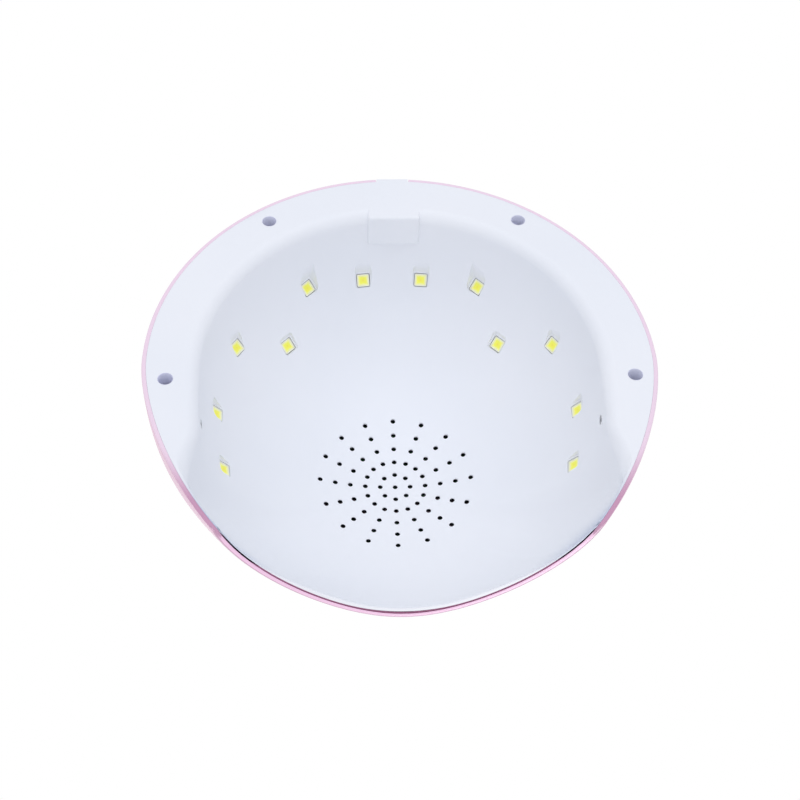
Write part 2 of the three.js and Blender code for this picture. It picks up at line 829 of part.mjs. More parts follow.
function makeSocket() {
  const block = solidOf(box(socketWidth, socketDepth, 0, socketHeight));
  const well = box(
    socketWidth - 2 * socketWall, socketDepth - 2 * socketWall, socketWall, 2 * socketHeight,
  );
  const pins = joined([-1, 1].map((side) =>
    rod(socketWall / 2, socketWall / 2, socketHeight - socketWall, ventSides)
      .translate((side * socketWidth) / 6, 0, 0)));
  return block.subtract(solidOf(well)).add(pins);
}

const socket = geometryOf(makeSocket());
[["jack_socket", 1], ["led_socket", -1]].forEach(([name, end]) => {
  const y = poleY + mainBoardY + end * (mainBoardDepth / 2 - socketDepth);
  addPiece(name, socket, materials.nylon).position.set(0, y, partFoot);
});

// The control face: window, display, board, switches and the three sprung buttons

const face = groupAt(faceFrame);

const windowPlate = plate(
  windowWidth - 2 * fitGap, windowDepth - 2 * fitGap, cornerRadius - fitGap, -windowThick, 0,
);
addPiece("display_window", windowPlate, materials.smoked, face).position.y = windowY;

const displayWidth = windowWidth - windowLedge;
const displayDepth = windowDepth - windowLedge;
const display = box(displayWidth, displayDepth, controlBoardTop + fitGap, flangeTop);
addPiece("display_module", display, materials.black, face).position.y = windowY;

function makeControlBoard() {
  const sheet = plate(
    controlBoardWidth, controlBoardDepth, cornerRadius, controlBoardFoot, controlBoardTop,
  ).translate(0, controlBoardY, 0);
  const holes = controlPosts.map((x) =>
    rod(boreRadius, controlBoardFoot - overrun, controlBoardTop + overrun, boreSides)
      .translate(x, controlPostY, 0));
  return solidOf(sheet).subtract(joined(holes));
}

addPiece("control_board", geometryOf(makeControlBoard()), materials.board, face);

const controlScrew = geometryOf(makeScrew(-shellWall - controlBoardFoot));
controlPosts.forEach((x, index) => {
  const screw = addPiece("control_screw_" + (index + 1), controlScrew, materials.steel, face);
  screw.position.set(x, controlPostY, controlBoardFoot - fitGap);
});

const domeDrop = buttonProud / 3;
const buttonCap = turned([
  [0, stemTop - buttonStemLength],
  [buttonStemRadius, stemTop - buttonStemLength],
  [buttonStemRadius, stemTop],
  [buttonRadius + buttonFlange, stemTop],
  [buttonRadius + buttonFlange, flangeTop],
  [buttonRadius, flangeTop],
  [buttonRadius, buttonProud - 2 * domeDrop],
  [buttonRadius - domeDrop, buttonProud - domeDrop],
  [buttonRadius / 2, buttonProud - domeDrop / 4],
  [0, buttonProud],
], roundSides);

const plungerFoot = switchTop - buttonTravel - fitGap;
const plunger = rod(plungerRadius, plungerFoot, plungerTop, postSides);

function makeSwitchBody() {
  const foot = switchTop - switchHeight;
  const body = solidOf(plate(switchSize, switchSize, fitGap, foot, switchTop));
  const wellFoot = plungerFoot - buttonTravel - fitGap;
  const well = rod(plungerRadius + fitGap, wellFoot, overrun, postSides);
  return body.subtract(solidOf(well));
}

const switchBody = geometryOf(makeSwitchBody());
buttonMarks.forEach((mark, index) => {
  const place = [(index - 1) * buttonPitch, buttonRowY, 0];
  addPiece("button_" + mark, buttonCap, materials.white, face).position.set(...place);
  addPiece("switch_plunger_" + mark, plunger, materials.black, face).position.set(...place);
  addPiece("switch_body_" + mark, switchBody, materials.black, face).position.set(...place);
});

export default lamp;
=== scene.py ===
import math
import bpy
import numpy as np
from mathutils import Matrix, Vector


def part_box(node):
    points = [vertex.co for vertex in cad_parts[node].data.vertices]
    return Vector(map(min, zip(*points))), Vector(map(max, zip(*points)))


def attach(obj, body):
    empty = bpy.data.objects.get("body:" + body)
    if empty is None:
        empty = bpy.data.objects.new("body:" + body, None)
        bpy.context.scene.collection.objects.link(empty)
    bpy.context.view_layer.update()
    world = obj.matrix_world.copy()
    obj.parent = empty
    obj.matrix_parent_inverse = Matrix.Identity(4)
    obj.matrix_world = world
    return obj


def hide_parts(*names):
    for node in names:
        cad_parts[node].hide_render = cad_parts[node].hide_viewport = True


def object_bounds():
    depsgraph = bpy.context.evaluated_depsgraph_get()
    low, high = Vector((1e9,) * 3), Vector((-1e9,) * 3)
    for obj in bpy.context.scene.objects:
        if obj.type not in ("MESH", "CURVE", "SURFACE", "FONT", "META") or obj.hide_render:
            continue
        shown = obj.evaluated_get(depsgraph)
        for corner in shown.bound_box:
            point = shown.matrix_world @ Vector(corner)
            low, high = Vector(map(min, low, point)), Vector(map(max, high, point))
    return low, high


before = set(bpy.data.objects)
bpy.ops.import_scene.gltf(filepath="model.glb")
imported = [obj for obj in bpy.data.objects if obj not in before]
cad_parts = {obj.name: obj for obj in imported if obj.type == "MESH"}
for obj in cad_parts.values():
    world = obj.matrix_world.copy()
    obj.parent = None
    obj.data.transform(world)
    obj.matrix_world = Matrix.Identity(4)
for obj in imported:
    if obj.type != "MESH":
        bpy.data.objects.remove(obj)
cad_low, cad_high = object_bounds()
mm = 0.001
scene = bpy.context.scene


# The outer shell
# One thin dome of glossy pink plastic, injection moulded, open below and at the mouth.
# Its rim and mouth edge are rounded over, and its front slope carries a flat control face.

pole_y = -11 * mm
mouth_y = cad_low.y
shell_wall = 1.6 * mm
edge_round = 0.75 * mm
seam_round = 0.12 * mm
ledge_drop = 0.56 * mm
ledge_setback = 0.8 * mm
ledge_run = 1.4 * mm
ledge_ends = np.radians((143.6, 145.4))
quarter_turn = math.pi / 2
half_turn = math.pi
full_turn = 2 * math.pi
bearing_steps = 288
lift_steps = 72
ring_bearings = np.arange(bearing_steps) / bearing_steps * full_turn
pole = np.array(0.0)
shell_form = {
    "half": cad_high.x,
    "rear": 96 * mm,
    "front": 114.5 * mm,
    "power": 1.68,
    "crease": 0.35,
    "height": cad_high.z,
    "rise": 0.9,
    "rear_rise": 0.9,
    "front_rise": 2.2,
}


def outline_radius(form, bearing):
    """The reach of a form in plan, by the angle about the pole, 0 to the rear."""
    across, along = np.abs(np.sin(bearing)), np.abs(np.cos(bearing))
    rear = ((across / form["half"]) ** 2 + (along / form["rear"]) ** 2) ** -0.5
    power, crease = form["power"], form["crease"]
    rounded = (across**2 + crease**2) ** (power / 2) - crease**power
    whole = (1 + crease**2) ** (power / 2) - crease**power
    sideways = rounded / whole / form["half"] ** power
    front = (sideways + (along / form["front"]) ** power) ** (-1 / power)
    return np.where(np.cos(bearing) > 0, rear, front)


def rise_at(form, bearing):
    """How fast a form's height falls off from the pole, by bearing."""
    along = np.cos(bearing)
    end = np.where(along > 0, form["rear_rise"], form["front_rise"])
    return form["rise"] + (end - form["rise"]) * along**2


def polar(bearing, radius, height):
    """Points from a bearing about the pole, a radius and a height."""
    bearing, radius, height = np.broadcast_arrays(bearing, radius, height)
    return np.stack([radius * np.sin(bearing), pole_y + radius * np.cos(bearing), height], -1)


def wrapped(bearing):
    """A bearing brought to within half a turn on either side of the rear."""
    return (bearing + half_turn) % full_turn - half_turn


def shell_point(bearing, lift):
    """The dome's outer face: a lift of 0 is the pole, and a quarter turn the foot."""
    radius = outline_radius(shell_form, bearing) * np.sin(lift)
    share = np.maximum(np.cos(lift), 0) ** rise_at(shell_form, bearing)
    return polar(bearing, radius, shell_form["height"] * share)


def square_to(point_at, bearing, lift):
    """The direction square to a surface, up and out of the lamp."""
    step = 0.001
    inner = np.clip(lift, 2 * step, quarter_turn - 2 * step)
    round_about = point_at(bearing + step, inner) - point_at(bearing - step, inner)
    down = point_at(bearing, inner + step) - point_at(bearing, inner - step)
    out = np.cross(down, round_about)
    out /= np.linalg.norm(out, axis=-1, keepdims=True)
    return np.where(out[..., 2:] < 0, -out, out)


def inside_shell(bearing, lift, depth):
    """A point a given depth inside the dome's outer face."""
    inward = square_to(shell_point, bearing, lift)
    return shell_point(bearing, lift) - np.asarray(depth)[..., None] * inward


def bisected(holds, low, high):
    """The largest values between low and high at which a condition still holds."""
    halvings = 34
    low, high = np.array(low, float), np.array(high, float)
    for _ in range(halvings):
        middle = (low + high) / 2
        good = holds(middle)
        low, high = np.where(good, middle, low), np.where(good, high, middle)
    return low


def shell_edge(bearing, depth, offset):
    """The lift at which the dome ends, an offset short of the table and of the mouth."""
    def inside(lift):
        point = inside_shell(bearing, lift, depth)
        return (point[..., 2] > offset) & (point[..., 1] > mouth_y + offset)
    return bisected(inside, np.zeros_like(bearing), np.full_like(bearing, quarter_turn))


def closing_up(grid, step, end, reach):
    """A step of a grid, drawn in over a reach so that the last step falls on the end."""
    start = end - np.minimum(reach, end / 2)
    reach = end - start
    past = np.maximum(grid[step] - start, 0)
    whole = grid[-1] - start
    drawn = past / (past + reach) * (whole + reach) / whole
    return np.where(grid[step] <= start, grid[step], start + reach * drawn)


def rounding(radius, steps, first=0):
    """Setbacks from both faces of a rounded edge, step by step round it."""
    turns = [step / steps * quarter_turn for step in range(first, steps + 1)]
    return [(radius * (1 - math.cos(turn)), radius * (1 - math.sin(turn))) for turn in turns]


def lofted(rows):
    """Points and faces of a solid through rings of points, with a single point at either end."""
    count = len(rows[1])
    points = [rows[0], *(point for row in rows[1:-1] for point in row), rows[-1]]
    last = len(points) - 1
    top = last - 1 - count
    faces = []
    for step in range(count):
        near, far = 1 + step, 1 + (step + 1) % count
        faces.append((0, far, near))
        for over in range(0, top, count):
            a, b = near + over, far + over
            faces.append((a, b, b + count, a + count))
        faces.append((near + top, far + top, last))
    return points, faces


def stacked(outlines, place):
    """Points and faces of a solid through pairs of a height and an outline, from foot to top."""
    count = len(outlines[0][1])
    points = [place @ Vector((x, y, z)) for z, outline in outlines for x, y in outline]
    top = (len(outlines) - 1) * count
    faces = [tuple(reversed(range(count))), tuple(range(top, top + count))]
    for step in range(count):
        after = (step + 1) % count
        for low in range(0, top, count):
            faces.append((low + step, low + after, low + count + after, low + count + step))
    return points, faces


def prism(outline, low, high, place=Matrix()):
    """Points and faces of an upright prism over an outline, moved to its place."""
    return stacked([(low, outline), (high, outline)], place)


def circle(radius, sides=48):
    """A round outline."""
    turns = [step / sides * full_turn for step in range(sides)]
    return [(radius * math.cos(turn), radius * math.sin(turn)) for turn in turns]


def turned(profile, sides, place=Matrix()):
    """Points and faces of a turned solid, from pairs of radius and height from foot to top."""
    rings = [[(x, y, height) for x, y in circle(radius, sides)] for radius, height in profile[1:-1]]
    foot, top = [(0, 0, height) for _, height in (profile[0], profile[-1])]
    points, faces = lofted([foot, *rings, top])
    return [place @ Vector(point) for point in points], faces


def rounded_rectangle(width, depth, corner, centre=(0, 0)):
    """An outline with four round corners."""
    steps = 6
    outline = []
    for index, (side, end) in enumerate(((1, 1), (-1, 1), (-1, -1), (1, -1))):
        x = centre[0] + side * (width / 2 - corner)
        y = centre[1] + end * (depth / 2 - corner)
        for step in range(steps + 1):
            turn = (index + step / steps) * quarter_turn
            outline.append((x + corner * math.cos(turn), y + corner * math.sin(turn)))
    return outline


def linked(name, data, place=Matrix()):
    """A new object in the scene, at its place."""
    thing = bpy.data.objects.new(name, data)
    scene.collection.objects.link(thing)
    thing.matrix_world = place
    return thing


def piece_of(name, parts, place=Matrix()):
    """One object from several solids that don't touch each other."""
    points, faces = [], []
    for part_points, part_faces in parts:
        start = len(points)
        points += [tuple(point) for point in part_points]
        faces += [tuple(start + index for index in face) for face in part_faces]
    mesh = bpy.data.meshes.new(name)
    mesh.from_pydata(points, [], faces)
    return linked(name, mesh, place)


def finished_mesh(piece):
    """The mesh of an object as its modifiers or its letters make it."""
    bpy.context.view_layer.update()
    evaluated = piece.evaluated_get(bpy.context.evaluated_depsgraph_get())
    return bpy.data.meshes.new_from_object(evaluated)


def shaped(piece, parts, operation="DIFFERENCE", finish=None):
    """Cuts solids or another piece out of a piece, or joins them to it, with a finish."""
    tool = piece_of("tool", parts) if isinstance(parts, list) else parts
    own = piece.data.materials[0] if len(piece.data.materials) else None
    if finish or own:
        tool.data.materials.append(finish or own)
    change = piece.modifiers.new("change", "BOOLEAN")
    change.operation = operation
    change.solver = "MANIFOLD"
    change.material_mode = "TRANSFER"
    change.object = tool
    mesh = finished_mesh(piece)
    if own is None:
        mesh.materials.clear()
    piece.modifiers.clear()
    piece.data = mesh
    bpy.data.objects.remove(tool)


def smoothed(piece, degrees):
    """Smooth shading that keeps edges sharper than an angle."""
    piece.data.polygons.foreach_set("use_smooth", [True] * len(piece.data.polygons))
    piece.data.set_sharp_from_angle(angle=math.radians(degrees))


def made_of(piece, material):
    """Gives a piece its one material."""
    piece.data.materials.clear()
    piece.data.materials.append(material)


def feed(node, inputs):
    """Gives a node's inputs, by name or by number, their values or links."""
    for key, value in inputs.items():
        socket = node.inputs[key]
        if isinstance(value, bpy.types.NodeSocket):
            node.id_data.links.new(value, socket)
        else:
            socket.default_value = value
    return node


def shade(tree, kind, settings=None, **inputs):
    """A shader node with its settings, and its inputs as values or links."""
    node = tree.nodes.new("ShaderNode" + kind)
    for key, value in (settings or {}).items():
        setattr(node, key, value)
    return feed(node, {key.replace("_", " "): value for key, value in inputs.items()})


def own_place(tree):
    """Coordinates in the object's own frame."""
    return shade(tree, "TexCoord").outputs["Object"]


def noise(place, scale, detail):
    """Soft noise over a place."""
    node = shade(place.id_data, "TexNoise", Vector=place, Scale=scale, Detail=detail)
    return node.outputs["Fac"]


def ramp(value, start, end, form="LINEAR"):
    """A share that runs from 0 to 1 while a value runs from start to end."""
    node = shade(value.id_data, "MapRange", {"interpolation_type": form},
                 Value=value, From_Min=start, From_Max=end)
    return node.outputs["Result"]


def worked(operation, *values, kind="Math", output="Value"):
    """The outcome of a sum on values and links, of which the first is a link."""
    node = shade(values[0].id_data, kind, {"operation": operation})
    return feed(node, dict(enumerate(values))).outputs[output]


def tinted(first, second, share):
    """A mix of two colours, values or links, by a share."""
    mix = shade(share.id_data, "Mix", {"data_type": "RGBA"}, Factor=share)
    return feed(mix, {6: first, 7: second}).outputs[2]


def dented(height, strength, distance):
    """The normal of a surface under a height."""
    bump = shade(height.id_data, "Bump", Height=height, Strength=strength, Distance=distance)
    return bump.outputs["Normal"]


def paint(red, green, blue):
    """A colour given as it looks on a screen, 0 to 255, for a shader."""
    shares = [value / 255 for value in (red, green, blue)]
    linear = [s / 12.92 if s < 0.04045 else ((s + 0.055) / 1.055) ** 2.4 for s in shares]
    return (*linear, 1)


def new_material(name):
    """A material, with its tree and its surface."""
    material = bpy.data.materials.new(name)
    material.use_nodes = True
    tree = material.node_tree
    return material, tree, tree.nodes["Principled BSDF"]


# The skin of moulded plastic: slow clouds of tone, a fine grain and faint hairlines
moulded_skin = bpy.data.node_groups.new("moulded skin", "ShaderNodeTree")
for label, value in (("Cloud Scale", 18.0), ("Sheen", 0.3), ("Haze", 0.08)):
    socket = moulded_skin.interface.new_socket(label, in_out="INPUT", socket_type="NodeSocketFloat")
    socket.default_value = value
for label in ("Tone", "Roughness", "Height"):
    moulded_skin.interface.new_socket(label, in_out="OUTPUT", socket_type="NodeSocketFloat")
given = moulded_skin.nodes.new("NodeGroupInput").outputs
place = own_place(moulded_skin)
tone = ramp(noise(place, given["Cloud Scale"], 4.0), 0.35, 0.65)
stretch = shade(moulded_skin, "Mapping", Vector=place,
                Scale=(900.0, 60.0, 240.0), Rotation=(0.4, 0.7, 0.2))
hairline = ramp(noise(stretch.outputs["Vector"], 1.0, 3.0), 0.62, 0.7)
marks = worked("MULTIPLY_ADD", hairline, 0.05, worked("MULTIPLY", tone, given["Haze"]))
feed(moulded_skin.nodes.new("NodeGroupOutput"), {
    "Tone": tone,
    "Roughness": worked("ADD", marks, given["Sheen"]),
    "Height": noise(place, 2600.0, 2.0),
})
skin_relief = 0.1 * mm


def moulded_plastic(name, light, dark, sheen, haze=0.08, cloud=18.0, relief=0.02, coat=0.0):
    """A moulded plastic between two close tones, each given as it looks on a screen."""
    material, tree, surface = new_material(name)
    skin = shade(tree, "Group", {"node_tree": moulded_skin},
                 Cloud_Scale=cloud, Sheen=sheen, Haze=haze).outputs
    feed(surface, {
        "Base Color": tinted(paint(*light), paint(*dark), skin["Tone"]),
        "Roughness": skin["Roughness"],
        "Normal": dented(skin["Height"], relief, skin_relief),
        "IOR": 1.5,
        "Coat Weight": coat,
        "Coat Roughness": 0.06,
    })
    return material


face_setback = 26 * mm
face_depth = 4.8 * mm
face_blend = 1.1 * mm
front_bearing = np.array(half_turn)
face_lift = np.arcsin(face_setback / shell_form["front"])
face_out = square_to(shell_point, front_bearing, face_lift)
face_out[0] = 0
face_out /= np.linalg.norm(face_out)
face_centre = shell_point(front_bearing, face_lift) - face_depth * face_out
face_frame = Matrix.Translation(face_centre) @ Matrix((
    (1, 0, 0, 0),
    (0, face_out[2], face_out[1], 0),
    (0, -face_out[1], face_out[2], 0),
    (0, 0, 0, 1),
))


def flattened(points, depth):
    """Presses points above the control face down to it, with a soft bend at its edge."""
    above = (points - face_centre) @ face_out + depth
    bend = (above + face_blend) ** 2 / (4 * face_blend)
    press = np.where(above > face_blend, above, np.where(above < -face_blend, 0, bend))
    return points - press[..., None] * face_out


def shell_rows():
    """Rings of the shell: its outer face, its rounded edge and its inner face."""
    def face_ring(step, depth, end):
        lift = closing_up(lifts, step, end, closing)
        return flattened(inside_shell(ring_bearings, lift, depth), depth)
    def edge_ring(depth, offset):
        return inside_shell(ring_bearings, shell_edge(ring_bearings, depth, offset), depth)
    lifts = np.linspace(0, quarter_turn, lift_steps + 1)
    closing = 0.06
    inner_setback = ledge_setback + ledge_run
    outer_end = shell_edge(ring_bearings, 0, edge_round)
    inner_end = shell_edge(ring_bearings, shell_wall, inner_setback)
    rows = [flattened(inside_shell(pole, pole, 0), 0)]
    rows += [face_ring(step, 0, outer_end) for step in range(1, len(lifts))]
    rows += [edge_ring(*setbacks) for setbacks in rounding(edge_round, 5, 1)]
    rows += [edge_ring(shell_wall - back, offset)
             for back, offset in reversed(rounding(seam_round, 3))]
    # A ledge over the crown of the mouth closes the seam to the liner
    drop = ledge_drop * np.interp(np.abs(wrapped(ring_bearings)), ledge_ends, (0, 1))
    rows += [edge_ring(shell_wall, ledge_setback), edge_ring(shell_wall + drop, ledge_setback),
             edge_ring(shell_wall + drop, inner_setback), edge_ring(shell_wall, inner_setback)]
    rows += [face_ring(step, shell_wall, inner_end) for step in range(len(lifts) - 2, 0, -1)]
    return rows + [flattened(inside_shell(pole, pole, shell_wall), shell_wall)]


shell = piece_of("shell_moulding", [lofted(shell_rows())])
pink_plastic = moulded_plastic(
    "pink moulded plastic", (238, 182, 211), (233, 174, 205), 0.2,
    haze=0.05, relief=0.005, coat=0.05,
)
made_of(shell, pink_plastic)

# Where the painted light and shade on the shell's edges begin and where they are full: painted
# shade that deepens the foot towards the mouth, painted light on the foot itself, painted shade on
# the mouth's rounded edge and a painted highlight on its flat face
painted_light_ranges = (
    ("Y", -48 * mm, -76 * mm),
    ("Z", 0.6 * mm, 0.3 * mm),
    ("Y", mouth_y + 0.9 * mm, mouth_y + 0.6 * mm),
    ("Y", mouth_y + 0.12 * mm, mouth_y + 0.05 * mm),
)
tree = pink_plastic.node_tree
base = tree.nodes["Principled BSDF"].inputs["Base Color"]
split = shade(tree, "SeparateXYZ", Vector=own_place(tree))
painted_shade_to_mouth, foot, edge, flat = [ramp(split.outputs[axis], start, end, "SMOOTHSTEP")
                          for axis, start, end in painted_light_ranges]
# Painted light and shade: the foot is painted paler pink as if lit from below, and deeper pink
# towards the mouth as shade
painted_foot_light_and_shade = tinted(paint(250, 224, 239), paint(210, 158, 187), painted_shade_to_mouth)
colour = tinted(base.links[0].from_socket, painted_foot_light_and_shade, foot)
# Painted shade darkens the mouth's rounded edge to mauve, and a painted highlight pales the mouth's
# flat face
colour = tinted(colour, paint(208, 156, 186), edge)
tree.links.new(tinted(colour, paint(255, 208, 236), flat), base)

# What the control face is cut for, in its own frame
button_pitch = 12 * mm
button_row_y = -9 * mm
button_marks = (30, 60, 99)
button_hole = 4.5 * mm
hole_easing = 0.3 * mm
window_y = 8 * mm
seat_width = 24 * mm
seat_depth = 13 * mm
seat_corner = 1.5 * mm
seat_floor = -1.3 * mm
ledge = 2 * mm
clear = 6 * mm
for border, floor_height in ((0, seat_floor), (ledge, -clear)):
    shaped(shell, [prism(
        rounded_rectangle(seat_width - 2 * border, seat_depth - 2 * border, seat_corner,
                          centre=(0, window_y)),
        floor_height, clear, face_frame,
    )])
button_places = [
    face_frame @ Matrix.Translation(((index - 1) * button_pitch, button_row_y, 0))
    for index in range(len(button_marks))
]
wide_hole = button_hole + hole_easing
button_bore = [(0, -clear), (button_hole, -clear), (button_hole, -hole_easing), (wide_hole, 0),
               (wide_hole, clear), (0, clear)]
shaped(shell, [turned(button_bore, 64, place) for place in button_places])

# The notch for the lead's socket is a slot with a round top, open at the foot
notch_width = 13 * mm
notch_height = 14 * mm
notch_middle = notch_height - notch_width / 2
notch_round = 0.6 * mm
notch_lead = 0.2 * mm
facing_rear = Matrix.Translation((0, cad_high.y, 0)) @ Matrix.Rotation(quarter_turn, 4, "X")


def arched(half, foot):
    """The outline of a slot with a round top."""
    turns = [step / 24 * half_turn for step in range(25)]
    arch = [(half * math.cos(turn), notch_middle + half * math.sin(turn)) for turn in turns]
    return [(-half, foot), (half, foot)] + arch


notch_rings = [(notch_round - notch_lead - clear, arched(notch_width / 2 + notch_round, -clear))]
notch_rings += [(rise - notch_lead, arched(notch_width / 2 + flare, -clear))
                for rise, flare in rounding(notch_round, 6)]
notch_rings.append((clear, notch_rings[-1][1]))
shaped(shell, [stacked(notch_rings, facing_rear)])

smoothed(shell, 32)
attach(shell, "casing")
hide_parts("outer_shell")


# The white liner
# A reflector moulded in one piece: a bowl for the hand that rolls over into the flat rim the
# lamp stands on, and bends down into a thin skin under the shell towards the mouth.

liner_wall = 1.6 * mm
fit_gap = 0.3 * mm
seam_gap = 2 * fit_gap
bend_reach = 12 * mm
settle_reach = 3 * mm
settle_share = 0.3
flange_width = 16 * mm
roll_radius = 4.8 * mm
cavity_height = 78 * mm
rim_seam = 0.03 * mm
back_round = 0.3 * mm
rim_round = 0.1 * mm
lip_round = 0.35 * mm
lip_bound = -0.745
least_swing = 0.02 * mm
bowl_travels = np.linspace(0, 1, 64)
roll_travels = np.linspace(1, 2, 20)[1:]
rim_travels = np.linspace(2, 3, 16)[1:]
bowl_form = {
    "half": shell_form["half"] - flange_width - roll_radius,
    "rear": shell_form["rear"] - flange_width - roll_radius,
    "front": 105 * mm,
    "power": 2.6,
    "crease": 0.0,
    "height": cavity_height,
    "rise": 0.94,
    "rear_rise": 0.76,
    "front_rise": 0.94,
}
rim_turns = np.linspace(-half_turn, half_turn, 1441)
rim_points = inside_shell(rim_turns, np.full_like(rim_turns, quarter_turn), shell_wall + rim_seam)
rim_bearings = np.unwrap(np.arctan2(rim_points[:, 0], rim_points[:, 1] - pole_y))
rim_reach = np.hypot(rim_points[:, 0], rim_points[:, 1] - pole_y)

# Towards the ends of the mouth the bowl widens and its roll tightens, so the flat rim runs out
corner_turns = np.radians((111, 131, 143, 160))
corner_roll = 0.35 * mm
corner_swell = 16 * mm
corner_thin = 0.75
corner_crisp = 0.7
mouth_ends = np.radians((137.4, 138.8))


def corner_share(bearing):
    """How far the rim has run out, by bearing."""
    share = np.interp(np.abs(wrapped(bearing)), corner_turns, (0, 1, 1, 0))
    return share**2 * (3 - 2 * share)


def rim_at(bearing):
    """The reach of the liner's edge at the foot of the shell."""
    return np.interp(wrapped(bearing), rim_bearings, rim_reach)


def skin_height(bearing, radius, depth):
    """The height that a skin of the liner may reach under the shell."""
    share = np.minimum(radius / outline_radius(shell_form, bearing), 1)
    lift = np.arcsin(share)
    thinned = 1 - corner_thin * corner_share(bearing)
    ahead = np.interp(np.abs(wrapped(bearing)), mouth_ends, (0, 1))
    gap = seam_gap * ahead * (1 - thinned) + seam_gap * thinned
    room = shell_wall + gap + (liner_wall - depth) * thinned
    steepness = np.maximum(square_to(shell_point, bearing, lift)[..., 2], 0.001)
    return np.maximum(shell_point(bearing, lift)[..., 2] - room / steepness, -clear)


def soft_lower(first, second):
    """The lower of two heights, with a soft bend where they meet."""
    meeting = np.maximum(bend_reach - np.abs(first - second), 0)
    return np.minimum(first, second) - meeting**2 / (4 * bend_reach)


def liner_profile(bearing, travel, depth):
    """Radius and height of the liner along its profile.

    A travel of 0 to 1 is the bowl, 1 to 2 the roll and 2 to 3 the flat rim."""
    bowl_radius = outline_radius(bowl_form, bearing)
    corner = corner_share(bearing)
    roll = roll_radius + corner * (corner_roll - roll_radius) + corner_swell * corner * (1 - corner)
    bowl_radius = bowl_radius + corner * (rim_at(bearing) - corner_roll - bowl_radius)
    lift = np.clip(travel, 0, 1) * quarter_turn
    share = np.maximum(np.cos(lift), 0) ** rise_at(bowl_form, bearing)
    radius = (bowl_radius + depth) * np.sin(lift)
    height = roll + (cavity_height + depth - roll) * share
    turn = np.clip(travel - 1, 0, 1) * quarter_turn
    swing = np.maximum(roll - depth, least_swing)
    rolled = travel > 1
    rolled_radius = bowl_radius + np.minimum(roll, depth + swing) - swing * np.cos(turn)
    radius = np.where(rolled, rolled_radius, radius)
    height = np.where(rolled, roll - swing * np.sin(turn), height)
    radius = radius + np.clip(travel - 2, 0, 1) * 2 * flange_width
    return radius, height


def liner_point(bearing, travel, depth):
    """A point of the liner: depth 0 is the white face, liner_wall is its hidden back."""
    radius, height = liner_profile(bearing, travel, depth)
    bent = soft_lower(height, skin_height(bearing, radius, depth))
    over, bent_over = height - depth, bent - depth
    crisp = settle_reach * (1 - corner_crisp * corner_share(bearing))
    reach = np.maximum(np.minimum(over * settle_share, crisp), 1e-7)
    settled = (bent_over + reach) ** 2 / (4 * reach)
    settled = np.where(bent_over > reach, bent_over, np.where(bent_over < -reach, 0, settled))
    return polar(bearing, radius, depth + settled)


def liner_edge(bearing, depth, offset):
    """The travel at which the liner ends, an offset short of the shell and of the mouth."""
    reach = rim_at(bearing) - offset
    ahead = np.maximum(-np.cos(bearing), 1e-6)
    reach = np.minimum(reach, (pole_y - mouth_y - offset) / ahead)
    def inside(travel):
        return liner_profile(bearing, travel, depth)[0] < reach
    return bisected(inside, np.zeros_like(bearing), np.full_like(bearing, 3.0))


def liner_rows():
    """Rings of the liner: its hidden back, its rounded edge and its white face."""
    def face_ring(step, depth, end):
        return liner_point(ring_bearings, closing_up(grid, step, end, closing), depth)
    def edge_ring(depth, offset):
        return liner_point(ring_bearings, liner_edge(ring_bearings, depth, offset), depth)
    grid = np.concatenate([bowl_travels, roll_travels, rim_travels])
    closing = 0.12
    lips = np.where(np.cos(ring_bearings) < lip_bound, lip_round, rim_round)
    back_end = liner_edge(ring_bearings, liner_wall, back_round)
    face_end = liner_edge(ring_bearings, 0, lips)
    rows = [liner_point(pole, pole, liner_wall)]
    rows += [face_ring(step, liner_wall, back_end) for step in range(1, len(grid))]
    rows += [edge_ring(liner_wall - back, offset) for back, offset in rounding(back_round, 3, 1)]
    rows += [edge_ring(*setbacks) for setbacks in reversed(rounding(lips, 6))]
    rows += [face_ring(step, 0, face_end) for step in range(len(grid) - 2, 0, -1)]
    return rows + [liner_point(pole, pole, 0)]


def cavity_rows(depth):
    """Rings of the filled cavity, a little behind the liner's white face."""
    rows = [liner_point(pole, pole, depth)]
    rows += [liner_point(ring_bearings, np.full_like(ring_bearings, travel), depth)
             for travel in (*bowl_travels[1:], *roll_travels)]
    return rows + [rows[-1] * (1, 1, 0) - (0, 0, clear), polar(0.0, 0.0, -clear)]


def wall_frame(bearing, height_share, facing=None, sink=0):
    """A frame on the bowl's white face whose Z points out through the back of the wall.

    With a facing it is a light's frame instead: turned that way, slanted and sunk in."""
    share = (height_share * cavity_height - roll_radius) / (cavity_height - roll_radius)
    lift = np.arccos(share ** (1 / rise_at(bowl_form, bearing)))
    def face(turn, climb):
        return liner_point(turn, climb / quarter_turn, 0)
    spot = Vector(face(np.array(bearing), lift))
    if facing is None:
        out = Vector(square_to(face, np.array(bearing), lift))
    else:
        out = Vector((math.sin(facing), math.cos(facing), math.tan(light_slant))).normalized()
        spot += sink * out
    level = Vector((-out.y, out.x, 0)).normalized()
    frame_at = Matrix((level, out.cross(level), out)).transposed().to_4x4()
    frame_at.translation = spot
    return frame_at


# Places of the lights and of the hand sensor on the bowl, and of the screws in the rim
light_slant = math.radians(42)
light_bearings = (9.3, 27.4, 41, 61.2, 87.4, 106)
light_height_shares = (0.421, 0.377, 0.596, 0.392, 0.423, 0.5)
light_facings = (6, 48, 46.5, 55.5, 92, 97.5)
light_sinks = (0.8 * mm, 1.3 * mm, 0.9 * mm, 0.7 * mm, 0.5 * mm, 0.5 * mm)
light_frames = [
    wall_frame(math.radians(side * bearing), share, math.radians(side * facing), sink)
    for side in (1, -1)
    for bearing, share, facing, sink
    in zip(light_bearings, light_height_shares, light_facings, light_sinks)
]

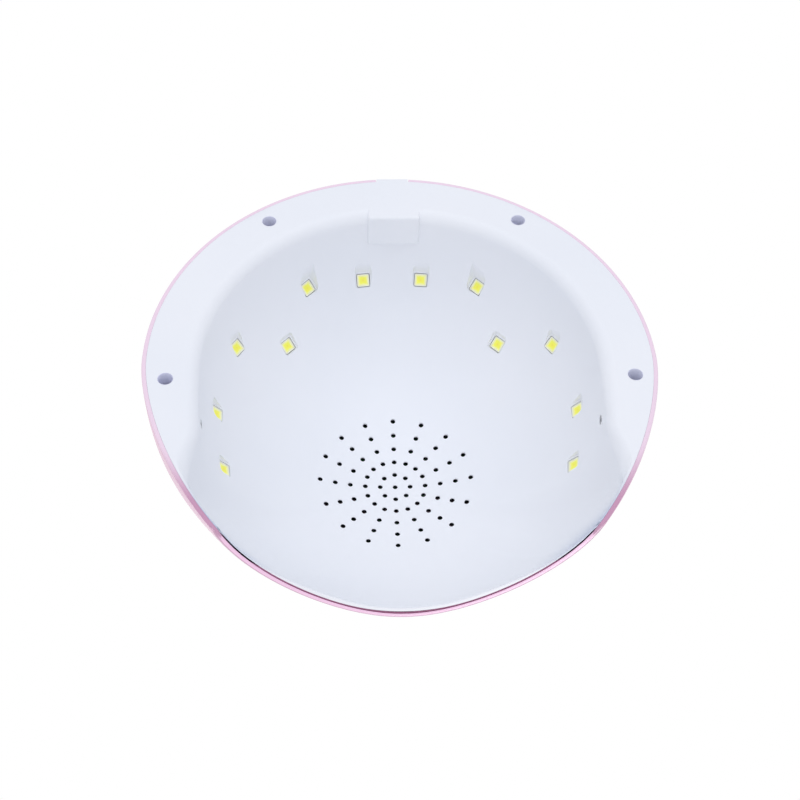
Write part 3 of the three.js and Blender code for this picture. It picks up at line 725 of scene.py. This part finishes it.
# From each light's slanted flat a chute runs out of the wall downwards
chute_lean = 0.3
chute_reach = cavity_height / 3
chute_frames = []
for place in light_frames:
    chute = place.copy()
    chute.col[2] = (place.col[2].x * chute_lean, place.col[2].y * chute_lean, 1, 0)
    chute_frames.append(chute)
sensor_bearing = 104.7
sensor_height_share = 0.16
sensor_frames = [wall_frame(math.radians(side * sensor_bearing), sensor_height_share)
                 for side in (1, -1)]
screw_bearings = (34.1, 95.4, -34.1, -95.4)
screw_inset = 8.3 * mm
screw_spots = []
for bearing in np.radians(screw_bearings):
    reach = outline_radius(shell_form, bearing) - screw_inset
    screw_spots.append(Matrix.Translation(polar(bearing, reach, 0.0)))

recess_radius = 2.7 * mm
recess_depth = 10 * mm
recess_lip = 0.15 * mm
cup_wall = 1.7 * mm
cup_top = recess_depth + liner_wall
bore_radius = 1.5 * mm
vent_radius = 1 * mm
vent_pitch = 6 * mm
vent_lip = 0.45 * mm
window_size = 5.6 * mm
window_corner = 0.8 * mm
pocket_floor = liner_wall + fit_gap
pocket_size = 7.6 * mm
pocket_corner = 0.5 * mm
pocket_wall = 1.5 * mm
pocket_height = 4.2 * mm
flat_size = 6.8 * mm
flat_corner = 1.3 * mm
sensor_hole = 1.8 * mm
sensor_boss = 3.4 * mm
sensor_boss_height = 4.5 * mm
backing_depth = 0.05 * mm

liner = piece_of("liner_moulding", [lofted(liner_rows())])
white_plastic = moulded_plastic(
    "white moulded plastic", (248, 249, 252), (244, 246, 250), 0.38,
    haze=0.06, cloud=9.0, relief=0.015,
)
made_of(liner, white_plastic)

# Painted shade: the white face is painted a darker, bluer grey where the skin tucks in at both ends
# of the mouth
painted_shade_spot = (67 * mm, 84 * mm, 4 * mm)
painted_shade_spread = 28 * mm
painted_shade_squat = (1, 1, 0.45)
tree = white_plastic.node_tree
base = tree.nodes["Principled BSDF"].inputs["Base Color"]
vector = {"kind": "VectorMath", "output": "Vector"}
either = worked("ABSOLUTE", own_place(tree), **vector)
squat = worked("MULTIPLY", either, painted_shade_squat, **vector)
painted_shade_distance = worked("DISTANCE", squat, painted_shade_spot, kind="VectorMath")
share = ramp(painted_shade_distance, painted_shade_spread, 0.0, "SMOOTHSTEP")
# The painted shade is full at the spot and fades out over the spread
tree.links.new(tinted(base.links[0].from_socket, paint(196, 205, 224), share), base)

# Painted shade: a near-black material for the vents' walls, standing in for the dark inside behind
# them
painted_vent_shade = moulded_plastic("painted shade of the vents", (12, 8, 26), (8, 5, 20), 0.9, haze=0.0)
# Painted shade: the screw recesses' walls are painted a bluer, violet white that stands in for the
# shade inside them
recess_painted_shade = moulded_plastic("recess plastic with painted shade", (242, 243, 255), (239, 240, 255), 0.45, haze=0.0)


def square(size, corner):
    """A square outline with four round corners."""
    return rounded_rectangle(size, size, corner)


def at_each(places, outline, low, high):
    """The same upright prism at each of several places."""
    return [prism(outline, low, high, place) for place in places]


# Cups for the screws, pockets and chutes behind the lights, and bosses behind the sensor
cup = circle(recess_radius + cup_wall)
pocket = square(pocket_size + 2 * pocket_wall, pocket_wall)
chute_walls = square(flat_size + 2 * liner_wall, flat_corner + liner_wall)
boss = circle(sensor_boss)
backing = piece_of("backing", at_each(screw_spots, cup, liner_wall / 2, cup_top))
shaped(backing, at_each(light_frames, pocket, -pocket_height, pocket_height), "UNION")
shaped(backing, at_each(chute_frames, chute_walls, -chute_reach, liner_wall), "UNION")
shaped(backing, at_each(sensor_frames, boss, -sensor_boss_height, sensor_boss_height), "UNION")
shaped(backing, [lofted(cavity_rows(backing_depth))])
shaped(liner, backing, "UNION")

# The housing for the lead's socket: a box that stands out of the bowl's rear wall
housing_width = 20.6 * mm
housing_height = 15 * mm
housing_front = pole_y + 73.4 * mm
housing_back = pole_y + 86 * mm
housing_corner = 1.2 * mm
housing_crown = 0.9
housing_long = housing_back - housing_front
at_housing = Matrix.Translation((0, housing_back, 0)) @ Matrix.Rotation(quarter_turn, 4, "X")


def housing_outline(inset):
    """The housing's outline from the rear, with an inset on all four sides."""
    return rounded_rectangle(
        housing_width - 2 * inset, housing_height - 2 * inset,
        max(housing_corner - inset, 0.3 * mm), centre=(0, housing_height / 2),
    )


housing_rings = [(0, housing_outline(0))]
housing_rings += [(housing_long - drop, housing_outline(inset * housing_crown))
                  for inset, drop in rounding(housing_corner, 6)]
shaped(liner, [stacked(housing_rings, at_housing)], "UNION")
inner_outline = housing_outline(liner_wall)
shaped(liner, [prism(inner_outline, -clear, housing_long - liner_wall, at_housing)])


def eased_bore(radius, easing, depth):
    """The profile of a round hole that widens towards its mouth at height 0."""
    wide = radius + easing
    return [(0, -clear), (wide, -clear), (wide, 0), (radius, easing), (radius, depth), (0, depth)]


# The tab that fills the shell's notch, and the round hole for the plug
tab = arched(notch_width / 2 - fit_gap, 0)
plug_radius = 4 * mm
plug_easing = 0.5 * mm
socket_axis_z = liner_wall + fit_gap + 5.5 * mm
shaped(liner, [prism(tab, 0, 2 * liner_wall, facing_rear)], "UNION")
plug_place = facing_rear @ Matrix.Translation((0, socket_axis_z, 0))
shaped(liner, [turned(eased_bore(plug_radius, plug_easing, clear), 64, plug_place)])


def white_height(x, y):
    """The height of the liner's white face over a point near the vents."""
    bearing, reach = np.array(math.atan2(x, y)), math.hypot(x, y)
    lift = math.asin(min(reach / float(outline_radius(bowl_form, bearing)), 1))
    return float(liner_point(bearing, np.array(lift / quarter_turn), 0)[2])


# The vents: a small ring and four larger ones round a central hole
vent_spots = [Matrix.Translation((0, pole_y, white_height(0, 0)))]
for ring, count in enumerate((8, 16, 16, 16, 16), 1):
    for step in range(count):
        turn = step / count * full_turn
        x, y = ring * vent_pitch * math.sin(turn), ring * vent_pitch * math.cos(turn)
        vent_spots.append(Matrix.Translation((x, pole_y + y, white_height(x, y))))
vent = circle(vent_radius, 28)
# Past their lip the vents' walls carry the painted near-black shade
shaped(liner, at_each(vent_spots, vent, vent_lip, 2 * clear), finish=painted_vent_shade)
shaped(liner, at_each(vent_spots, vent, -clear, vent_lip))

# The screws' recesses and bores, and the openings of the lights and the sensor
wide_recess = recess_radius + recess_lip
recess = [(0, -clear), (wide_recess, -clear), (wide_recess, 0)]
recess += [(recess_radius + flare, rise) for rise, flare in rounding(recess_lip, 5, 1)]
recess += [(recess_radius, recess_depth), (0, recess_depth)]
# The recesses' walls carry the painted violet shade
shaped(liner, [turned(recess, 56, spot) for spot in screw_spots], finish=recess_painted_shade)
for places, outline, low, high in (
    (screw_spots, circle(bore_radius, 32), 0, cup_top + clear),
    (chute_frames, square(flat_size, flat_corner), -chute_reach, 0),
    (light_frames, square(window_size, window_corner), -clear, clear),
    (light_frames, square(pocket_size, pocket_corner), pocket_floor, 2 * clear),
    (sensor_frames, circle(sensor_hole, 32), -clear, 2 * clear),
):
    shaped(liner, at_each(places, outline, low, high))

smoothed(liner, 30)
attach(liner, "casing")
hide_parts("inner_liner")


# The lights
# Square white packages with a well of yellow phosphor, soldered to small aluminium boards
# that sit in pockets behind the windows of the liner.

light_size = 5 * mm
light_thick = 1.5 * mm
light_foot = pocket_floor - light_thick
well_size = 4.15 * mm
well_depth = 0.25 * mm
well_corner = 0.5 * mm
light_corner = 0.45 * mm

# Cloudy yellow silicone that pales towards the rim of its well, with a faint painted glow though
# the lights are off
yellow_phosphor, tree, surface = new_material("yellow phosphor")
place = own_place(tree)
split = shade(tree, "SeparateXYZ", Vector=place)
reach = [worked("ABSOLUTE", split.outputs[axis]) for axis in ("X", "Y")]
blot = noise(place, 900.0, 3.0)
wander = worked("MULTIPLY_ADD", blot, 0.9 * mm, worked("MAXIMUM", *reach))
core = ramp(wander, 0.5 * mm, 1.3 * mm)
body = tinted(paint(255, 236, 96), paint(255, 255, 100), core)
feed(surface, {
    "Base Color": tinted(body, paint(255, 255, 200), ramp(wander, 1.6 * mm, 2.4 * mm)),
    "Normal": dented(blot, 0.15, 0.05 * mm),
    "Roughness": 0.35,
    # Painted glow: a faint yellow emission, though the lights are off
    "Emission Color": paint(255, 250, 60),
    "Emission Strength": 0.07,
})


def shared_mesh(piece, material):
    """A smooth mesh for several objects; the piece it came from is removed."""
    smoothed(piece, 30)
    made_of(piece, material)
    mesh = piece.data
    bpy.data.objects.remove(piece)
    return mesh


light_base = piece_of("light", [prism(
    square(light_size, light_corner), light_foot, light_foot + light_thick,
)])
shaped(light_base, [prism(square(well_size, well_corner), -clear, light_foot + 2 * well_depth)])
light_mesh = shared_mesh(light_base, moulded_plastic(
    "white package", (255, 255, 240), (254, 254, 232), 0.3, cloud=400.0, relief=0.05,
))
phosphor_mesh = shared_mesh(piece_of("phosphor", [prism(
    square(well_size - 0.02 * mm, well_corner),
    light_foot + well_depth, light_foot + 2 * well_depth + 0.1 * mm,
)]), yellow_phosphor)
for index, place in enumerate(light_frames, 1):
    package = linked(f"light_package_{index:02}", light_mesh, place)
    phosphor = linked(f"light_phosphor_{index:02}", phosphor_mesh, place)
    for piece in (package, phosphor):
        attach(piece, "casing")
    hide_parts(f"led_bead_{index:02}")


def brushed_metal(name, colour, rough, across=1400.0, along=90.0):
    """Rolled or turned metal with fine lines along one way."""
    material, tree, surface = new_material(name)
    stretch = shade(tree, "Mapping", Vector=own_place(tree), Scale=(across, along, across))
    line = noise(stretch.outputs["Vector"], 1.0, 4.0)
    darker = (*(0.82 * value for value in colour[:3]), 1)
    spread = shade(tree, "MapRange", Value=line, To_Min=rough, To_Max=rough + 0.15)
    feed(surface, {
        "Base Color": tinted(colour, darker, line),
        "Roughness": spread.outputs["Result"],
        "Normal": dented(line, 0.08, 0.05 * mm),
        "Metallic": 1.0,
    })
    return material


def dress(node, material):
    """Gives a carried-over CAD node its material."""
    made_of(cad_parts[node], material)


light_board_metal = brushed_metal("light board aluminium", paint(205, 207, 210), 0.32)
for index in range(1, len(light_frames) + 1):
    dress(f"led_board_{index:02}", light_board_metal)


# The screws
# Zinc plated self-tapping screws with a pan head and a cross recess: four deep in the rim's
# cups, four through the main board and two through the control board.

screw_length = 14 * mm
head_radius = 2.5 * mm
head_height = 1.7 * mm
head_round = 0.7 * mm
thread_radius = 1.2 * mm
thread_root = 0.95 * mm
thread_pitch = 0.9 * mm
tip_radius = 0.2 * mm
cross_width = 0.6 * mm
cross_reach = 1.5 * mm
cross_depth = 0.9 * mm

# The screw points up, with the bearing face of its head at height 0
screw_profile = [(0, -head_height)]
screw_profile += [(head_radius - inset, rise - head_height)
                  for rise, inset in rounding(head_round, 6)]
screw_profile += [(head_radius, 0), (thread_root, 0)]
for turn in range(1, int((screw_length - thread_pitch) / thread_pitch)):
    foot = thread_pitch * turn
    screw_profile += [(thread_root, foot), (thread_radius, foot + 0.3 * thread_pitch),
                      (thread_root, foot + 0.6 * thread_pitch)]
screw_profile += [(thread_root, screw_length - thread_pitch),
                  (tip_radius, screw_length - 0.1 * mm), (0, screw_length)]
screw = piece_of("case screw", [turned(screw_profile, 32)])
for x, y in ((cross_width / 2, cross_reach), (cross_reach, cross_width / 2)):
    shaped(screw, [prism([(-x, -y), (x, -y), (x, y), (-x, y)],
                         -head_height - cross_depth, cross_depth - head_height)])
zinc = brushed_metal("zinc plate", paint(178, 182, 190), 0.28, across=2500.0, along=2500.0)
case_screw = shared_mesh(screw, zinc)
for index, spot in enumerate(screw_spots, 1):
    seated = spot @ Matrix.Translation((0, 0, recess_depth - fit_gap))
    piece = linked(f"rim_screw_{index}", case_screw, seated)
    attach(piece, "casing")
    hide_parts(f"case_screw_{index}")
    dress(f"board_screw_{index}", zinc)
for index in (1, 2):
    dress(f"control_screw_{index}", zinc)


# The hand sensor
# Two small infrared parts, a sender and a receiver, whose dark epoxy noses look across the
# mouth from holes in the side walls.

sensor_radius = 1.5 * mm
sensor_flange = 2 * mm
sensor_length = 6 * mm
flange_foot = sensor_boss_height + fit_gap
sensor_profile = [(0, 0)]
sensor_profile += [(sensor_radius - inset, rise) for rise, inset in rounding(sensor_radius, 8, 1)]
sensor_profile += [(sensor_radius, flange_foot), (sensor_flange, flange_foot),
                   (sensor_flange, sensor_length), (0, sensor_length)]
dark_epoxy = moulded_plastic("dark epoxy", (28, 24, 34), (20, 18, 26), 0.12, cloud=500.0, coat=0.4)
for name, place in zip(("sensor_sender", "sensor_receiver"), sensor_frames):
    nose = piece_of(name + "_nose", [turned(sensor_profile, 40)], place)
    smoothed(nose, 30)
    made_of(nose, dark_epoxy)
    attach(nose, "casing")
    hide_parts(name)


# The socket for the lead
# A black moulded block with a round bore and a steel centre pin, held in the liner's housing
# just behind the round hole of the rear tab.

socket_low, socket_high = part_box("dc_jack")
socket_bore = 3.2 * mm
socket_easing = 0.3 * mm
socket_pin = 1 * mm
socket_deep = 10 * mm
socket_length = 14 * mm
pin_end = socket_deep + 0.5 * mm
socket_outline = rounded_rectangle(
    socket_high.x - socket_low.x, socket_high.z - socket_low.z, 0.5 * mm,
)
socket_spot = Matrix.Translation((0, socket_high.y, socket_axis_z))
socket_place = socket_spot @ Matrix.Rotation(quarter_turn, 4, "X")
socket = piece_of("lead_socket", [prism(socket_outline, 0, socket_length, socket_place)])
socket_cut = eased_bore(socket_bore, socket_easing, socket_deep)
shaped(socket, [turned(socket_cut, 48, socket_place)])
black_nylon = moulded_plastic(
    "black nylon", (30, 30, 33), (22, 22, 25), 0.42, cloud=120.0, relief=0.06,
)
made_of(socket, black_nylon)
pin = piece_of("lead_socket_pin", [turned(
    [(0, 1 * mm), (0.6 * mm, 1 * mm), (0.9 * mm, 1.2 * mm), (socket_pin, 1.6 * mm),
     (socket_pin, pin_end), (0, pin_end)], 32, socket_place,
)])
made_of(pin, zinc)
for piece in (socket, pin):
    smoothed(piece, 30)
    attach(piece, "casing")
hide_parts("dc_jack")


# The main board
# A green printed board on four posts over the bowl, with the driver, a capacitor, a coil and
# two white sockets for the leads.

# Green solder mask over the faint relief of copper tracks
green_board, tree, surface = new_material("green board")
cells = shade(tree, "TexVoronoi", {"feature": "DISTANCE_TO_EDGE"},
              Vector=own_place(tree), Scale=260.0, Randomness=0.35)
track = ramp(cells.outputs["Distance"], 0.04, 0.1)
feed(surface, {
    "Base Color": tinted(paint(58, 140, 84), paint(26, 92, 52), track),
    "Normal": dented(track, 0.4, 0.05 * mm),
    "Roughness": 0.35,
})

# Enamelled wire wound in close turns about Z
wound_copper, tree, surface = new_material("wound copper")
turns = shade(tree, "TexWave", {"bands_direction": "Z"},
              Vector=own_place(tree), Scale=550.0, Distortion=0.6).outputs["Fac"]
feed(surface, {
    "Base Color": tinted(paint(120, 58, 30), paint(206, 122, 74), turns),
    "Normal": dented(turns, 0.6, 0.2 * mm),
    "Metallic": 1.0,
    "Roughness": 0.3,
})

capacitor_sleeve = moulded_plastic(
    "capacitor sleeve", (26, 30, 44), (20, 22, 34), 0.25, cloud=150.0,
)
white_nylon = moulded_plastic("white nylon", (236, 232, 220), (228, 224, 210), 0.4, cloud=120.0)
dress("main_board", green_board)
dress("switching_coil", wound_copper)
dress("smoothing_capacitor", capacitor_sleeve)
dress("led_driver", black_nylon)
dress("jack_socket", white_nylon)
dress("led_socket", white_nylon)


# The display
# A smoked clear window set flush in the control face, over a dark module whose two figures
# show as pale bars while it is off.

# Clear plastic with a dark tint and a faint unevenness in its polish
smoked_plastic, tree, surface = new_material("smoked plastic")
skin = shade(tree, "Group", {"node_tree": moulded_skin}, Sheen=0.04, Haze=0.04).outputs
feed(surface, {
    "Base Color": paint(104, 88, 98),
    "Roughness": skin["Roughness"],
    "Normal": dented(skin["Height"], 0.01, skin_relief),
    "Transmission Weight": 0.85,
    "IOR": 1.49,
})

window_plate = piece_of("smoked_window", [prism(
    rounded_rectangle(seat_width - 2 * fit_gap, seat_depth - 2 * fit_gap, seat_corner - fit_gap),
    seat_floor + fit_gap, 0,
)], face_frame @ Matrix.Translation((0, window_y, 0)))
bevel = window_plate.modifiers.new("eased edges", "BEVEL")
bevel.width = 0.25 * mm
bevel.segments = 3
bevel.limit_method = "ANGLE"
bevel.angle_limit = math.radians(40)
bevel.harden_normals = True
smoothed(window_plate, 40)
made_of(window_plate, smoked_plastic)
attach(window_plate, "casing")
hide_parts("display_window")
dress("display_module", black_nylon)

# Bars of the two figures, in shares of a figure's width and height
figure_width = 4.4 * mm
figure_height = 7 * mm
figure_x = 3.4 * mm
bar_thick = 0.75 * mm
bar_gap = 1.2 * bar_thick
bar_places = (
    (0, 1, True), (0, 0, True), (0, -1, True),
    (-1, 0.5, False), (1, 0.5, False), (-1, -0.5, False), (1, -0.5, False),
)
under_shell = -shell_wall - fit_gap
bar_foot = under_shell + 0.02 * mm
bar_top = under_shell + 0.12 * mm
bars = []
for side in (-1, 1):
    for across, up, level in bar_places:
        x = side * figure_x + across * figure_width / 2
        y = window_y + up * figure_height / 2
        long = (figure_width if level else figure_height / 2) - bar_gap
        end, half = long / 2, bar_thick / 2
        outline = [(-end, 0), (half - end, -half), (end - half, -half),
                   (end, 0), (end - half, half), (half - end, half)]
        if not level:
            outline = [(-b, a) for a, b in outline]
        bars.append(prism([(x + a, y + b) for a, b in outline], bar_foot, bar_top, face_frame))
figures = piece_of("display_figures", bars)
made_of(figures, moulded_plastic(
    "unlit bars", (206, 198, 204), (190, 184, 190), 0.4, cloud=600.0,
))
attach(figures, "casing")
dress("control_board", green_board)


# The timer buttons
# Three white caps on sprung switches, with a shallow dish for the fingertip and a printed
# plain number of seconds.

cap_radius = 4.2 * mm
cap_proud = 0.9 * mm
cap_dish = 0.25 * mm
cap_round = 0.35 * mm
cap_flange = 1 * mm
flange_thick = 1 * mm
stem_top = under_shell - flange_thick
stem_radius = 1.6 * mm
stem_length = 0.9 * mm
dish_steps = 12
mark_size = 3.4 * mm
mark_thick = 0.04 * mm

cap_profile = [
    (0, stem_top - stem_length), (stem_radius, stem_top - stem_length), (stem_radius, stem_top),
    (cap_radius + cap_flange, stem_top), (cap_radius + cap_flange, under_shell),
    (cap_radius, under_shell),
]
cap_profile += [(cap_radius - inset, cap_proud - drop) for inset, drop in rounding(cap_round, 6)]
for share in (1 - step / dish_steps for step in range(1, dish_steps)):
    dish = cap_dish * (1 - share**2) ** 2
    cap_profile.append(((cap_radius - cap_round) * share, cap_proud - dish))
cap_profile.append((0, cap_proud - cap_dish))
button_plastic = moulded_plastic(
    "white button plastic", (240, 241, 245), (234, 236, 241), 0.25, cloud=90.0, coat=0.2,
)
print_grey = moulded_plastic("grey print", (104, 100, 112), (92, 88, 100), 0.5, cloud=700.0)
figure_spot = Matrix.Translation((0, 0, cap_proud - cap_dish + 0.05 * mm))
for mark, place in zip(button_marks, button_places):
    cap = piece_of(f"button_cap_{mark}", [turned(cap_profile, 64)], place)
    smoothed(cap, 40)
    made_of(cap, button_plastic)
    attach(cap, f"timer_button_{mark}")
    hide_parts(f"button_{mark}")

    curve = bpy.data.curves.new("number", "FONT")
    curve.body = str(mark)
    curve.size = mark_size
    curve.align_x = curve.align_y = "CENTER"
    curve.extrude = mark_thick
    written = linked("number", curve)
    number = linked(f"button_number_{mark}", finished_mesh(written), place @ figure_spot)
    bpy.data.objects.remove(written)
    made_of(number, print_grey)
    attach(number, f"timer_button_{mark}")

    dress(f"switch_plunger_{mark}", black_nylon)
    dress(f"switch_body_{mark}", black_nylon)


# The studio
# A pale floor that shows only from above, because the photograph looks up into the lamp, a
# white surround, and large soft lamps above and below.


def mixed_shader(tree, share, first, second, name):
    """A mix of two shaders by a share, with the output that both carry."""
    inputs = {0: share, 1: first.outputs[name], 2: second.outputs[name]}
    return feed(shade(tree, "MixShader"), inputs).outputs["Shader"]


# The floor is pale and matt from above, and clear from below and at its far edge
pale_floor, tree, surface = new_material("pale floor")
place = own_place(tree)
feed(surface, {
    "Base Color": tinted(paint(246, 247, 249), paint(242, 243, 246), noise(place, 6.0, 3.0)),
    "Roughness": 0.8,
    "Specular IOR Level": 0.2,
})
path = shade(tree, "LightPath").outputs
far = ramp(worked("LENGTH", place, kind="VectorMath"), 0.5, 1.4)
seen = shade(tree, "NewGeometry").outputs["Backfacing"]
for other in (path["Is Shadow Ray"], path["Is Diffuse Ray"], far):
    seen = worked("MAXIMUM", seen, other)
nothing = shade(tree, "BsdfTransparent")
shown = mixed_shader(tree, seen, surface, nothing, "BSDF")
feed(tree.nodes["Material Output"], {"Surface": shown})

floor_half = 3
floor_drop = 0.3 * mm
floor = piece_of("floor", [(
    [(side * floor_half, end * floor_half, -floor_drop)
     for side, end in ((-1, -1), (1, -1), (1, 1), (-1, 1))], [(0, 1, 2, 3)],
)])
made_of(floor, pale_floor)

world = bpy.data.worlds.new("surround")
scene.world = world
world.use_nodes = True
sky = world.node_tree
sky.nodes.clear()
rays = shade(sky, "LightPath").outputs
direct = rays["Is Camera Ray"]
for kind in ("Is Glossy Ray", "Is Transmission Ray"):
    direct = worked("MAXIMUM", direct, rays[kind])
white_sky = shade(sky, "Background", Color=(1, 1, 1, 1), Strength=1.0)
soft_sky = shade(sky, "Background", Color=(0.915, 0.937, 1.0, 1), Strength=0.72)
surround = mixed_shader(sky, direct, soft_sky, white_sky, "Background")
shade(sky, "OutputWorld", Surface=surround)


def soft_lamp(name, spot, size, power, colour=(1, 1, 1)):
    """A square lamp that looks at the lamp's middle."""
    data = bpy.data.lights.new(name, "AREA")
    data.size = size
    data.energy = power
    data.color = colour
    lamp = linked(name, data)
    lamp.location = spot
    aim = lamp_aim - Vector(spot)
    lamp.rotation_euler = aim.to_track_quat("-Z", "Y").to_euler()


lamp_aim = Vector((0, -10 * mm, 40 * mm))
cool = (0.93, 0.95, 1)
soft_lamp("lamp below", (0, 0.05, -1.1), 1.2, 3.8, cool)
soft_lamp("lamp before", (0, -1.0, -0.5), 0.8, 0.8, cool)
soft_lamp("lamp above", (-0.5, -0.7, 1.0), 0.8, 4.6)
soft_lamp("lamp beside", (0.9, -0.2, 0.6), 0.6, 1.4)

# The photograph looks up into the lamp from in front, nearly upside down
camera_place = Matrix.Translation(Vector((27.39, -382.32, -429.12)) * mm)
for axis, angle in (("Y", 176.499), ("X", 39.341), ("Z", -2.795)):
    camera_place @= Matrix.Rotation(math.radians(angle), 4, axis)
camera_data = bpy.data.cameras.new("camera")
camera_data.lens = 70.56
camera_data.sensor_width = 36
camera_data.clip_start = 0.01
scene.camera = linked("camera", camera_data, camera_place)
scene.view_settings.view_transform = "Standard"
